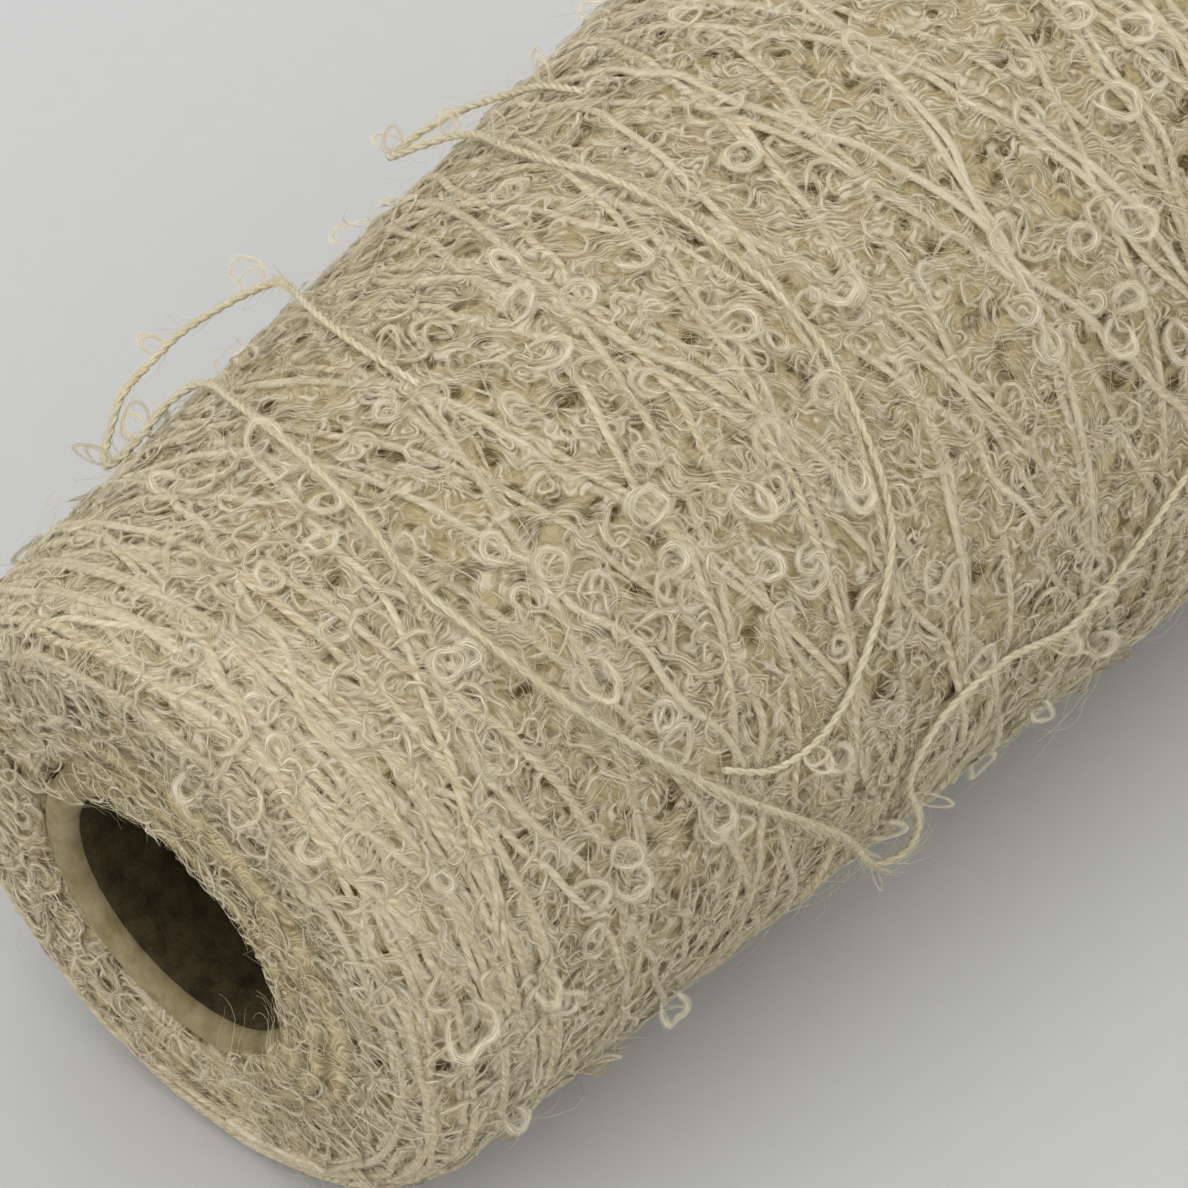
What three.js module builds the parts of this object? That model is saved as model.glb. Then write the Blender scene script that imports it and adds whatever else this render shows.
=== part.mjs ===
import * as THREE from "three";

// A cone of looped mohair yarn, lying on its side, in millimetres with +Z up.
// The nose of the paper cone points to -X and the wound yarn rests on Z = 0.

// Driving sizes
const coneLength = 170;
const taper = THREE.MathUtils.degToRad(4 + 20 / 60);
const noseRadius = 19;
const wallThickness = 2.4;
const lipRadius = 2;
const yarnRadius = 35.9; // of the winding's mean skin, carried on to the nose's plane
const flatDepth = 0.8; // how far the winding's own weight presses its underside flat
const pieceGap = 0.35;
const strandDiameter = 1;
const noseX = -85.3; // puts the middle of the package over the origin

// How finely the round pieces are faceted
const coneSides = 48;
const windingSides = 60;
const skinRows = 56;
const strandSides = 8;

// Raised turns of the winding: two crossing sets, a few starts each
const ridgeHeight = 0.5;
const forwardTurns = { pitch: 9.4, starts: 6 };
const backwardTurns = { pitch: 10.6, starts: 5 };

// The winding's two ends: how far along the axis, and how far in from its skin
const noseShoulder = [
  { along: 0.9, inset: 5.4 },
  { along: 1.5, inset: 3.0 },
  { along: 2.9, inset: 1.2 },
  { along: 5.1, inset: 0.3 },
];
const baseShoulder = [
  { along: 153.0, inset: 0.6 },
  { along: 155.4, inset: 2.2 },
  { along: 156.8, inset: 5.0 },
];
const skinStart = 8;
const skinEnd = 150;

// The end faces between the paper cone and the shoulders: along the axis, and out from the cone
const noseFace = [
  { along: 3.2, out: 0 },
  { along: 1.9, out: 3 },
  { along: 1.2, out: 7 },
];
const baseFace = [
  { along: 157.2, out: 9 },
  { along: 156.4, out: 0 },
];

// Loose strands: along the axis, degrees round it from the top towards +Y, and lift off the skin
const nearStrandRoute = [
  [44.3, 4.7, 1.35],
  [45.6, 20, 1.5],
  [48.2, 32, 2.0],
  [52.5, 46, 3.2],
  [54.6, 54, 3.8],
  [52.6, 58, 5.0],
  [48.5, 59, 6.1],
  [44.0, 59, 6.7],
  [39.5, 59, 6.6],
  [35.0, 59.5, 6.2],
  [31.9, 60.5, 4.6],
  [29.2, 60.5, 3.0],
  [27.7, 57.5, 1.9],
  [28.9, 54, 1.5],
  [32.0, 52.5, 1.8],
  [35.4, 52, 2.3],
  [38.2, 49.5, 2.0],
  [37.8, 43, 1.4],
  [35.2, 33, 1.35],
  [32.6, 21, 1.35],
  [30.6, 8, 1.35],
  [28.8, -5, 1.35],
  [26.9, -17, 1.35],
  [27.6, -29, 1.35],
  [29.8, -42, 1.35],
  [34.0, -56, 1.35],
  [40.2, -70.4, 1.35],
  [46.6, -82, 1.35],
  [53.2, -94, 1.4],
  [57.0, -102, 1.6],
  [59.8, -110, 2.3],
  [62.4, -115, 3.2],
  [65.4, -113.6, 3.9],
  [66.2, -106.5, 3.0],
  [64.9, -97, 1.6],
  [69.6, -88.8, 1.35],
  [79.0, -87.4, 1.35],
  [88.5, -91, 1.35],
  [98.0, -86.2, 1.35],
  [111.5, -77, 1.35],
];
const farStrandRoute = [
  [86.5, 27, 1.35],
  [87.6, 38, 1.4],
  [87.9, 49, 1.7],
  [86.6, 57.5, 3.4],
  [83.0, 60.5, 4.7],
  [79.3, 61.5, 5.2],
  [76.8, 58.5, 5.0],
  [77.2, 53.6, 4.0],
  [79.8, 49, 2.4],
  [79.5, 42, 1.6],
  [76.9, 31, 1.35],
  [75.7, 20, 1.35],
  [76.3, 9, 1.35],
  [76.4, -2, 1.35],
  [76.2, -12, 1.35],
  [76.5, -22, 1.35],
  [75.9, -32, 1.35],
  [74.2, -40.5, 1.35],
  [72.6, -49, 1.35],
  [70.4, -56.5, 1.35],
  [66.6, -62.8, 1.35],
  [62.2, -68.4, 1.35],
  [57.0, -73.8, 1.35],
  [52.2, -75.7, 1.35],
  [47.0, -74.4, 1.35],
  [41.9, -69, 1.35],
];
const nearStrandSteps = 50;
const farStrandSteps = 30;

// Finishes
const yarnFinish = { color: "#c8bb96", roughness: 0.95, metalness: 0 };
const paperFinish = { color: "#b9b2a2", roughness: 0.85, metalness: 0 };

const slope = Math.tan(taper);
const axisHeight = yarnRadius * Math.cos(taper) - flatDepth;

function coneRadius(along) {
  return noseRadius + along * slope;
}

function skinRadius(along) {
  return yarnRadius + along * slope;
}

// A profile point as [radius, along] for a lathe that turns about +Y
function onConeOffset(row) {
  return new THREE.Vector2(coneRadius(row.along) + pieceGap + row.out, row.along);
}

function onSkinInset(row) {
  return new THREE.Vector2(skinRadius(row.along) - row.inset, row.along);
}

// Turns a closed profile about the package's axis, which runs along +X from the nose
function turned(profile, sides) {
  const closed = [...profile, profile[0].clone()];
  return new THREE.LatheGeometry(closed, sides).rotateZ(-Math.PI / 2);
}

// The paper cone: a straight taper with a thick rolled lip at the nose
function paperConeProfile() {
  const lipTurns = 6;
  const lip = [];
  for (let i = 0; i <= lipTurns; i += 1) {
    const turn = (Math.PI * i) / lipTurns;
    const radius = noseRadius - lipRadius - lipRadius * Math.cos(turn);
    lip.push(new THREE.Vector2(radius, lipRadius - lipRadius * Math.sin(turn)));
  }
  const edge = 0.8;
  const boreRadius = (along) => coneRadius(along) - wallThickness;
  return [
    ...lip,
    new THREE.Vector2(coneRadius(6), 6),
    new THREE.Vector2(coneRadius(coneLength - edge), coneLength - edge),
    new THREE.Vector2(coneRadius(coneLength) - edge, coneLength),
    new THREE.Vector2(boreRadius(coneLength) + edge, coneLength),
    new THREE.Vector2(boreRadius(coneLength - edge), coneLength - edge),
    new THREE.Vector2(boreRadius(12), 12),
    new THREE.Vector2(noseRadius - 2 * lipRadius + 0.9, 6.5),
  ];
}

// The winding: a hollow thick-walled body round the paper cone, with rounded shoulders
function windingProfile() {
  const skin = [];
  for (let row = 0; row <= skinRows; row += 1) {
    const along = THREE.MathUtils.lerp(skinStart, skinEnd, row / skinRows);
    skin.push(new THREE.Vector2(skinRadius(along), along));
  }
  return [
    ...noseFace.map(onConeOffset),
    ...noseShoulder.map(onSkinInset),
    ...skin,
    ...baseShoulder.map(onSkinInset),
    ...baseFace.map(onConeOffset),
  ];
}

// Height of the raised turns at a place on the skin, with some wander so that no two are alike
function turnRelief(along, around) {
  const wander = 0.7 * Math.sin(2 * around + along / 17) + 0.5 * Math.sin(3 * around - along / 29);
  const forward = (2 * Math.PI * along) / forwardTurns.pitch - forwardTurns.starts * around + wander;
  const backward = (2 * Math.PI * along) / backwardTurns.pitch + backwardTurns.starts * around - wander;
  const unevenness = 0.8 + 0.2 * Math.sin(5 * around + along / 11);
  return ridgeHeight * unevenness * Math.max(Math.cos(forward), Math.cos(backward));
}

// Raises the turns in the winding's own points and presses its underside flat on Z = 0
function raiseTurns(geometry) {
  const points = geometry.attributes.position;
  const point = new THREE.Vector3();
  for (let i = 0; i < points.count; i += 1) {
    point.fromBufferAttribute(points, i);
    const radius = Math.hypot(point.y, point.z);
    const depth = skinRadius(point.x) - radius;
    const share = THREE.MathUtils.clamp(1 - depth / 4, 0, 1);
    const around = Math.atan2(point.y, point.z);
    const grown = (radius + share * turnRelief(point.x, around)) / radius;
    const lowest = -(axisHeight + point.x * Math.sin(taper)) / Math.cos(taper);
    points.setXYZ(i, point.x, point.y * grown, Math.max(point.z * grown, lowest));
  }
  return geometry;
}

// A place given along the axis, round it and off the winding's skin, as a point of the part
function placeOnPackage([along, degrees, lift]) {
  const around = THREE.MathUtils.degToRad(degrees);
  const radius = skinRadius(along) + lift;
  const up = radius * Math.cos(around);
  return new THREE.Vector3(
    noseX + along * Math.cos(taper) - up * Math.sin(taper),
    radius * Math.sin(around),
    axisHeight + along * Math.sin(taper) + up * Math.cos(taper)
  );
}

function strandSection() {
  const corners = [];
  for (let i = 0; i < strandSides; i += 1) {
    const turn = (2 * Math.PI * i) / strandSides;
    const radius = strandDiameter / 2;
    corners.push(new THREE.Vector2(radius * Math.cos(turn), radius * Math.sin(turn)));
  }
  return new THREE.Shape(corners);
}

function looseStrand(name, route, steps) {
  const path = new THREE.CatmullRomCurve3(route.map(placeOnPackage));
  const geometry = new THREE.ExtrudeGeometry(strandSection(), {
    steps,
    bevelEnabled: false,
    extrudePath: path,
  });
  return piece(name, geometry, yarnFinish);
}

function piece(name, geometry, finish) {
  const mesh = new THREE.Mesh(geometry, new THREE.MeshStandardMaterial(finish));
  mesh.name = name;
  return mesh;
}

// The package lies on a straight line of its skin, so its axis rises towards the base
const leaning = new THREE.Group();
leaning.rotation.y = -taper;
leaning.position.set(noseX, 0, axisHeight);
leaning.add(piece("paper_cone", turned(paperConeProfile(), coneSides), paperFinish));
leaning.add(piece("wound_yarn", raiseTurns(turned(windingProfile(), windingSides)), yarnFinish));

const yarnCone = new THREE.Group();
yarnCone.add(leaning);
yarnCone.add(looseStrand("loose_strand_near", nearStrandRoute, nearStrandSteps));
yarnCone.add(looseStrand("loose_strand_far", farStrandRoute, farStrandSteps));

export default yarnCone;
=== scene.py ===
import math

import bpy
import numpy as np
from mathutils import Matrix, Vector


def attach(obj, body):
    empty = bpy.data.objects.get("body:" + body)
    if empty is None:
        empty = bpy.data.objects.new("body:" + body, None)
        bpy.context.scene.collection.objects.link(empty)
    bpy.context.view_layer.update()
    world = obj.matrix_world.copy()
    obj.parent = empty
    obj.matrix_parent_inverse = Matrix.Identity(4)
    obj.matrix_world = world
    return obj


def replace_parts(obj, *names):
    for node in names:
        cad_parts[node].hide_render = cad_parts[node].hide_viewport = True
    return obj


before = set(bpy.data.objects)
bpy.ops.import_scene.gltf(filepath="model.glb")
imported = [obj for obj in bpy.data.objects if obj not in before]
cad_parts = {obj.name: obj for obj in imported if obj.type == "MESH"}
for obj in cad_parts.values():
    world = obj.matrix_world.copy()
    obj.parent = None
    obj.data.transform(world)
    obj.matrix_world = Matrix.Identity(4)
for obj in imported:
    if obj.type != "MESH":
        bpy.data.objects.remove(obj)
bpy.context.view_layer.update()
print("frame loaded,", len(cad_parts), "nodes")

fullTurn = 2 * math.pi


# An sRGB hex colour as the linear values that shaders and lights read
def linearColour(hexColour):
    channels = [int(hexColour[i:i + 2], 16) / 255 for i in (1, 3, 5)]
    linear = [c / 12.92 if c <= 0.04045 else ((c + 0.055) / 1.055) ** 2.4 for c in channels]
    return linear + [1.0]


# Adds one node to a tree, a shader node unless its kind says otherwise. Inputs are in the sockets' order, or
# go by a socket's name or identifier. A value may be a hex colour, an output, or a node for its first output.
# Settings are the node's own properties.
def addNode(tree, kind, inputs=(), **settings):
    node = tree.nodes.new(kind if "Node" in kind else "ShaderNode" + kind)
    for name, value in settings.items():
        setattr(node, name, value)
    for key, value in inputs.items() if isinstance(inputs, dict) else enumerate(inputs):
        exact = [socket for socket in node.inputs if socket.identifier == key]
        socket = exact[0] if exact else node.inputs[key]
        value = value.outputs[0] if isinstance(value, bpy.types.Node) else value
        if isinstance(value, bpy.types.NodeSocket):
            tree.links.new(value, socket)
        else:
            socket.default_value = linearColour(value) if str(value).startswith("#") else value
    return node


def addObject(name, data):
    item = bpy.data.objects.new(name, data)
    bpy.context.collection.objects.link(item)
    return item


# A piece that rides with the package
def addPiece(name, mesh):
    item = addObject(name, mesh)
    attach(item, "root")
    return item


def unit(vectors):
    return vectors / np.maximum(np.linalg.norm(vectors, axis=-1, keepdims=True), 1e-9)


# Unit vectors at right angles to the unit vectors ahead, and otherwise as near as can be to those given
def squareTo(ahead, vectors):
    return unit(vectors - ahead * np.sum(vectors * ahead, axis=-1, keepdims=True))


# How far along a line each of its points lies
def lengthAlong(line):
    return np.concatenate([[0], np.cumsum(np.linalg.norm(np.diff(line, axis=0), axis=1))])


# The same line with its points spread evenly, and how far along it they lie
def spreadEvenly(line, count):
    length = lengthAlong(line)
    even = np.linspace(0, length[-1], count)
    return np.stack([np.interp(even, length, values) for values in line.T], axis=-1), even


# Smooth random values of about -1 to 1 at places along a line
def drift(rng, places, wavelength):
    knots = rng.uniform(-1, 1, int(np.max(places) / wavelength) + 3)
    index = (places / wavelength).astype(int)
    part = places / wavelength - index
    part = part * part * (3 - 2 * part)
    return knots[index] * (1 - part) + knots[index + 1] * part


# Gives random numbers as a column, one for each of many strands
def columns(rng, count):
    return lambda low, high: rng.uniform(low, high, (count, 1))


camera = {
    "place": (-0.34304, -0.29147, 0.47650),
    "azimuth": math.radians(47.7495),
    "fall": math.radians(45.541),
    "lens": 176.915,
    "sensor": 36,
    "clip": (0.02, 20),
}


def makeCamera(sizes):
    data = bpy.data.cameras.new("camera")
    data.lens, data.sensor_width = sizes["lens"], sizes["sensor"]
    data.clip_start, data.clip_end = sizes["clip"]
    azimuth, fall = sizes["azimuth"], sizes["fall"]
    level = math.cos(fall)
    right = Vector((math.cos(azimuth), -math.sin(azimuth), 0))
    ahead = Vector((level * math.sin(azimuth), level * math.cos(azimuth), -math.sin(fall)))
    turn = Matrix((right, right.cross(ahead), -ahead)).transposed().to_4x4()
    item = addObject("camera", data)
    item.matrix_world = Matrix.Translation(sizes["place"]) @ turn
    bpy.context.scene.camera = item


makeCamera(camera)

# The package: a winding on a paper cone that lies on its skin, so its axis rises towards the base
package = {
    "taper": math.radians(4 + 20 / 60),
    "noseX": -0.0853,
    "yarnRadius": 0.0359,  # of the winding's skin, carried on to the nose's plane
    "flatDepth": 0.0008,
    "coneNoseRadius": 0.019,
    "coneLength": 0.170,
    "coneWall": 0.0024,
    "lipRadius": 0.002,
    "pieceGap": 0.00035,
    "noseFaceEnd": 0.0035,
    "baseFaceStart": 0.1535,
    "faceBlend": 0.002,
}
slope = math.tan(package["taper"])
axis = np.array([math.cos(package["taper"]), 0, math.sin(package["taper"])])
axisStart = np.array([package["noseX"], 0, package["yarnRadius"] * axis[0] - package["flatDepth"]])


def coneRadius(along):
    return package["coneNoseRadius"] + along * slope


def skinRadius(along):
    return package["yarnRadius"] + along * slope


# Places given along the axis, out from it and round it from the top towards +Y, as points of the frame
def onPackage(along, radius, around):
    up = radius * np.cos(around)
    x = axisStart[0] + along * axis[0] - up * axis[2]
    z = axisStart[2] + along * axis[2] + up * axis[0]
    return np.stack(np.broadcast_arrays(x, radius * np.sin(around), z), axis=-1)


# Which way is out at points on or near the package: away from its axis, or along it at the two end faces
def outwardAt(points):
    offset = points - axisStart
    along = offset @ axis
    away = unit(offset - along[..., None] * axis)
    nose = np.clip((package["noseFaceEnd"] - along) / package["faceBlend"], 0, 1)[..., None]
    base = np.clip((along - package["baseFaceStart"]) / package["faceBlend"], 0, 1)[..., None]
    return away * (1 - nose) * (1 - base) + axis * (base - nose)


# Which way is ahead at each point of a line, and which way is out and square to that
def aheadAndOut(line):
    ahead = unit(np.gradient(line, axis=0))
    return ahead, squareTo(ahead, outwardAt(line))


# Loose strands: millimetres along the axis, degrees round it, and millimetres off the skin where not at rest
restLift = 1.35
looseStrands = {
    "loose_strand_near": {
        "route": [
            (44.3, 4.7), (45.6, 20, 1.5), (48.2, 32, 2), (52.5, 46, 3.2), (54.6, 54, 3.8), (52.6, 58, 5),
            (48.5, 59, 6.1), (44, 59, 6.7), (39.5, 59, 6.6), (35, 59.5, 6.2), (31.9, 60.5, 4.6),
            (29.2, 60.5, 3), (27.7, 57.5, 1.9), (28.9, 54, 1.5), (32, 52.5, 1.8), (35.4, 52, 2.3),
            (38.2, 49.5, 2), (37.8, 43, 1.4), (35.2, 33), (32.6, 21), (30.6, 8), (28.8, -5), (26.9, -17),
            (27.6, -29), (29.8, -42), (34, -56), (40.2, -70.4), (46.6, -82), (53.2, -94, 1.4),
            (57, -102, 1.6), (59.8, -110, 2.3), (62.4, -115, 3.2), (65.4, -113.6, 3.9), (66.2, -106.5, 3),
            (64.9, -97, 1.6), (69.6, -88.8), (79, -87.4), (88.5, -91), (98, -86.2), (111.5, -77),
        ],
        "length": 0.2797,
    },
    "loose_strand_far": {
        "route": [
            (86.5, 27), (87.6, 38, 1.4), (87.9, 49, 1.7), (86.6, 57.5, 3.4), (83, 60.5, 4.7),
            (79.3, 61.5, 5.2), (76.8, 58.5, 5), (77.2, 53.6, 4), (79.8, 49, 2.4), (79.5, 42, 1.6),
            (76.9, 31), (75.7, 20), (76.3, 9), (76.4, -2), (76.2, -12), (76.5, -22), (75.9, -32),
            (74.2, -40.5), (72.6, -49), (70.4, -56.5), (66.6, -62.8), (62.2, -68.4), (57, -73.8),
            (52.2, -75.7), (47, -74.4), (41.9, -69),
        ],
        "length": 0.1612,
    },
}
twoPly = {
    "diameter": 0.001,
    "plyRadius": 0.00029,
    "plyOffset": 0.00016,
    "plySides": 5,
    "lay": 0.0031,  # length of one full turn of the two plies
    "step": 0.0003,
    "pointsBetweenKnots": 40,
}


# Gives a route the smooth line that the part's own solid follows: a centripetal Catmull-Rom curve
def smoothRoute(route):
    along, degrees, lift = np.array([(*place, restLift)[:3] for place in route], dtype=float).T
    knots = onPackage(along / 1000, skinRadius(along / 1000) + lift / 1000, np.radians(degrees))
    knots = np.vstack([2 * knots[0] - knots[1], knots, 2 * knots[-1] - knots[-2]])
    part = np.linspace(0, 1, twoPly["pointsBetweenKnots"], endpoint=False)[:, None]
    pieces = []
    for p0, p1, p2, p3 in zip(knots, knots[1:], knots[2:], knots[3:]):
        a, b, c = (np.linalg.norm(q - p) ** 0.5 for p, q in ((p0, p1), (p1, p2), (p2, p3)))
        leave = ((p1 - p0) / a - (p2 - p0) / (a + b) + (p2 - p1) / b) * b
        arrive = ((p2 - p1) / b - (p3 - p1) / (b + c) + (p3 - p2) / c) * b
        square = -3 * p1 + 3 * p2 - 2 * leave - arrive
        cube = 2 * p1 - 2 * p2 + leave + arrive
        pieces.append(p1 + leave * part + square * part ** 2 + cube * part ** 3)
    line = np.vstack(pieces + [knots[-2:-1]])
    return spreadEvenly(line, int(lengthAlong(line)[-1] / twoPly["step"]) + 1)[0]


# Strands along lines: one tree, used for all that follows a line
def makeStrandTree():
    tree = bpy.data.node_groups.new("strandsAlongLines", "GeometryNodeTree")
    for name, kind, value in (
        ("Geometry", "Geometry", None),
        ("Plies", "Int", 1),
        ("Sides", "Int", 5),
        ("Flatness", "Float", 1.0),
        ("Smooth", "Bool", True),
        ("Ply Radius", "Float", 1.0),
        ("Ply Offset", "Float", 0.0),
        ("Material", "Material", None),
    ):
        socket = tree.interface.new_socket(name, in_out="INPUT", socket_type="NodeSocket" + kind)
        if value is not None:
            socket.default_value = value
    tree.interface.new_socket("Geometry", in_out="OUTPUT", socket_type="NodeSocketGeometry")
    given = addNode(tree, "NodeGroupInput").outputs
    lines = addNode(tree, "GeometryNodeMeshToCurve", {"Mesh": given["Geometry"]})
    upright = addNode(tree, "GeometryNodeInputNamedAttribute", {"Name": "upright"}, data_type="FLOAT_VECTOR")
    turned = addNode(tree, "GeometryNodeSetCurveNormal", {"Curve": lines, "Normal": upright}, mode="FREE")
    width = addNode(tree, "GeometryNodeInputNamedAttribute", {"Name": "halfWidth"}, data_type="FLOAT")
    ring = addNode(
        tree, "GeometryNodeCurvePrimitiveCircle",
        {"Resolution": given["Sides"], "Radius": given["Ply Radius"]}, mode="RADIUS",
    )
    marked = addNode(
        tree, "GeometryNodeStoreNamedAttribute",
        {"Geometry": ring, "Name": "section", "Value": addNode(tree, "GeometryNodeInputPosition")},
        data_type="FLOAT_VECTOR", domain="POINT",
    )
    thin = addNode(tree, "CombineXYZ", [given["Flatness"], 1.0, 1.0])
    pressed = addNode(tree, "GeometryNodeTransform", {"Geometry": marked, "Scale": thin})
    reach = addNode(tree, "CombineXYZ", [given["Ply Offset"]])
    start = addNode(tree, "VectorMath", {0: reach, "Scale": -1.0}, operation="SCALE")
    apart = addNode(tree, "VectorMath", {0: reach, "Scale": 2.0}, operation="SCALE")
    spots = addNode(
        tree, "GeometryNodeMeshLine", {"Count": given["Plies"], "Start Location": start, "Offset": apart},
        mode="OFFSET",
    )
    rings = addNode(tree, "GeometryNodeInstanceOnPoints", {"Points": spots, "Instance": pressed})
    profile = addNode(tree, "GeometryNodeRealizeInstances", {"Geometry": rings})
    tubes = addNode(
        tree, "GeometryNodeCurveToMesh",
        {"Curve": turned, "Profile Curve": profile, "Scale": width, "Fill Caps": True},
    )
    smooth = addNode(tree, "GeometryNodeSetShadeSmooth", {"Geometry": tubes, "Shade Smooth": given["Smooth"]})
    real = addNode(tree, "GeometryNodeRealizeInstances", {"Geometry": smooth})
    dressed = addNode(tree, "GeometryNodeSetMaterial", {"Geometry": real, "Material": given["Material"]})
    addNode(tree, "NodeGroupOutput", {"Geometry": dressed})
    return tree


strandTree = makeStrandTree()
inputNames = {
    item.name: item.identifier for item in strandTree.interface.items_tree if item.in_out == "INPUT"
}
flatBand = {"Sides": 3, "Smooth": False}
singleHair = {"Sides": 3}


# Many lines as one plain mesh of strands. halfWidths and uprights match the lines' points, tones the lines.
def growStrands(name, lines, halfWidths, material, uprights=None, tones=None, **sizes):
    counts = np.array([len(line) for line in lines])
    points = np.concatenate(lines)
    last = np.cumsum(counts) - 1
    first = last - counts + 1
    starts = np.delete(np.arange(len(points)), last)
    steps = np.linalg.norm(np.diff(points, axis=0, prepend=points[:1]), axis=1)
    steps[first] = 0
    travelled = np.cumsum(steps)
    travelled -= np.repeat(travelled[first], counts)
    ahead = np.roll(points, -1, axis=0) - np.roll(points, 1, axis=0)
    ahead[first] = points[first + 1] - points[first]
    ahead[last] = points[last] - points[last - 1]
    upright = squareTo(unit(ahead), outwardAt(points) if uprights is None else np.concatenate(uprights))
    ends = np.abs(2 * travelled / np.repeat(travelled[last], counts) - 1) ** 3
    if tones is None:
        tones = np.random.default_rng(len(points)).uniform(0, 1, len(lines))
    if len(tones) == len(lines):
        tones = np.repeat(tones, counts)
    mesh = bpy.data.meshes.new(name + "_lines")
    mesh.from_pydata(points.tolist(), np.stack([starts, starts + 1], axis=-1).tolist(), [])
    for key, kind, values in (
        ("halfWidth", "value", np.concatenate(halfWidths)),
        ("travelled", "value", travelled),
        ("ends", "value", ends),
        ("tone", "value", tones),
        ("upright", "vector", upright),
    ):
        made = mesh.attributes.new(key, "FLOAT_VECTOR" if kind == "vector" else "FLOAT", "POINT")
        made.data.foreach_set(kind, np.asarray(values, dtype=np.float32).ravel())
    source = addObject(name + "_lines", mesh)
    modifier = source.modifiers.new("strands", "NODES")
    modifier.node_group = strandTree
    for key, value in {"Material": material, **sizes}.items():
        modifier[inputNames[key]] = value
    made = bpy.data.meshes.new_from_object(source.evaluated_get(bpy.context.evaluated_depsgraph_get()))
    made.name = name
    made.attributes.remove(made.attributes["halfWidth"])
    bpy.data.objects.remove(source)
    bpy.data.meshes.remove(mesh)
    triangles = sum(len(face.vertices) - 2 for face in made.polygons)
    print(f"{name}: {len(lines)} strands, {triangles} triangles")
    return addPiece(name, made)


def newMaterial(name):
    material = bpy.data.materials.new(name)
    material.use_nodes = True
    material.node_tree.nodes.clear()
    return material, material.node_tree


# Ends a material: the look's colour, bump and fixed values on one principled shader
def finishMaterial(material, colour, bump=None, **fixed):
    given = {"Base Color": colour, **({"Normal": bump} if bump else {}), **fixed}
    shader = addNode(material.node_tree, "BsdfPrincipled", given)
    addNode(material.node_tree, "OutputMaterial", {"Surface": shader})
    return material


# The quiet silky gloss of mohair, warm because the fibres' scales catch their own colour
def silk(roughness, level=0.3):
    return {"Roughness": roughness, "Specular IOR Level": level, "Specular Tint": "#f3dfae"}


# Bump on a surface that is lit as the soft fibre it stands for: share says how far its own shape is forgotten
# for the way that the fibre faces
def addSoftBump(tree, height, depth, strength, share):
    upright = addNode(tree, "Attribute", attribute_name="upright").outputs["Vector"]
    own = addNode(tree, "NewGeometry").outputs["Normal"]
    weight = share / (1 - share)
    mixed = addNode(tree, "VectorMath", [upright, (weight,) * 3, own], operation="MULTIPLY_ADD")
    soft = addNode(tree, "VectorMath", [mixed], operation="NORMALIZE")
    return addNode(tree, "Bump", {"Height": height, "Strength": strength, "Distance": depth, "Normal": soft})


# A colour from dark to light, by where a value lies from low to high
def addShades(tree, value, low, high, dark, light):
    share = addNode(tree, "MapRange", [value, low, high])
    mixed = addNode(tree, "Mix", {"Factor_Float": share, "A_Color": dark, "B_Color": light}, data_type="RGBA")
    return next(socket for socket in mixed.outputs if socket.identifier == "Result_Color")


# What a strand's points carry, such as how far along it they lie and how light it is
def readStrand(tree, *names):
    return [addNode(tree, "Attribute", attribute_name=name).outputs["Fac"] for name in names]


# Where a point lies on its strand's section, as X and Y
def readSection(tree):
    section = addNode(tree, "Attribute", attribute_name="section").outputs["Vector"]
    return addNode(tree, "SeparateXYZ", [section]).outputs


# Fibre lying in whorls: it follows the level lines of a smooth field on a slope. It gives how light the fibre
# is at a place, and how thick it lies there; both are about 0 to 1, and sizes are metres.
def addWhorls(tree, look):
    size, spacing = look["whorlSize"], look["fibreSpacing"]
    place = addNode(tree, "TexCoord").outputs["Object"]
    moved = addNode(tree, "VectorMath", [place, (look["shift"], 0.0, 0.0)], operation="ADD")
    field = addNode(tree, "TexNoise", {"Vector": moved, "Scale": 1 / size, "Detail": 1.0, "Roughness": 0.4})
    flow = addNode(
        tree, "VectorMath", [moved, tuple(v / spacing for v in (0.31, 0.31, 0.24))],
        operation="DOT_PRODUCT",
    )
    straight = addNode(tree, "CombineXYZ", [flow.outputs["Value"]])
    spread = addNode(
        tree, "VectorMath",
        [field.outputs["Color"], (1.3 * size / spacing, 6.0, 6.0), straight], operation="MULTIPLY_ADD",
    )
    fibres = addNode(tree, "TexNoise", {"Vector": spread, "Scale": 1.0, "Detail": 1.0})
    level = addNode(tree, "Math", [field, 0.5], operation="SUBTRACT")
    off = addNode(tree, "Math", [level], operation="ABSOLUTE")
    thick = addNode(tree, "MapRange", [off, 0.05, 0.17, 1.0, 0.0])
    raised = addNode(tree, "Math", [thick, look["whorlShare"], fibres], operation="MULTIPLY_ADD")
    return fibres, raised


# Spun two-ply mohair: soft fibres that wind round the strand, with a silky glint. It reads as fine slanted
# streaks over faint light and dark bars, which are half the plies' lay apart. Its colour is darker where it
# lies low between plies and fibres and paler on the crowns: painted shade.
strandLook = {
    "crown": "#f0e3c6",
    "paintedGrooveShade": "#b59e6d",
    "pale": "#f6ebcf",
    "barSpacing": 0.00155,
    "barShare": 0.09,
    "lay": 0.0046,
    "streaksRound": 2.4,
    "streakLength": 0.0022,
    "patchSize": 0.012,
    "bumpDepth": 0.0004,
    "softness": 0.3,
}
# The loose strands: a paler copy of the strands' colours, painted light on strands that lie up off the
# winding, with fainter painted shade between the plies
cordLookPaintedLight = {
    **strandLook, "crown": "#f8edcb", "paintedGrooveShade": "#e2d1a0", "pale": "#f7eed4", "bumpDepth": 0.0002,
    "softness": 0.05,
}


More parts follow.
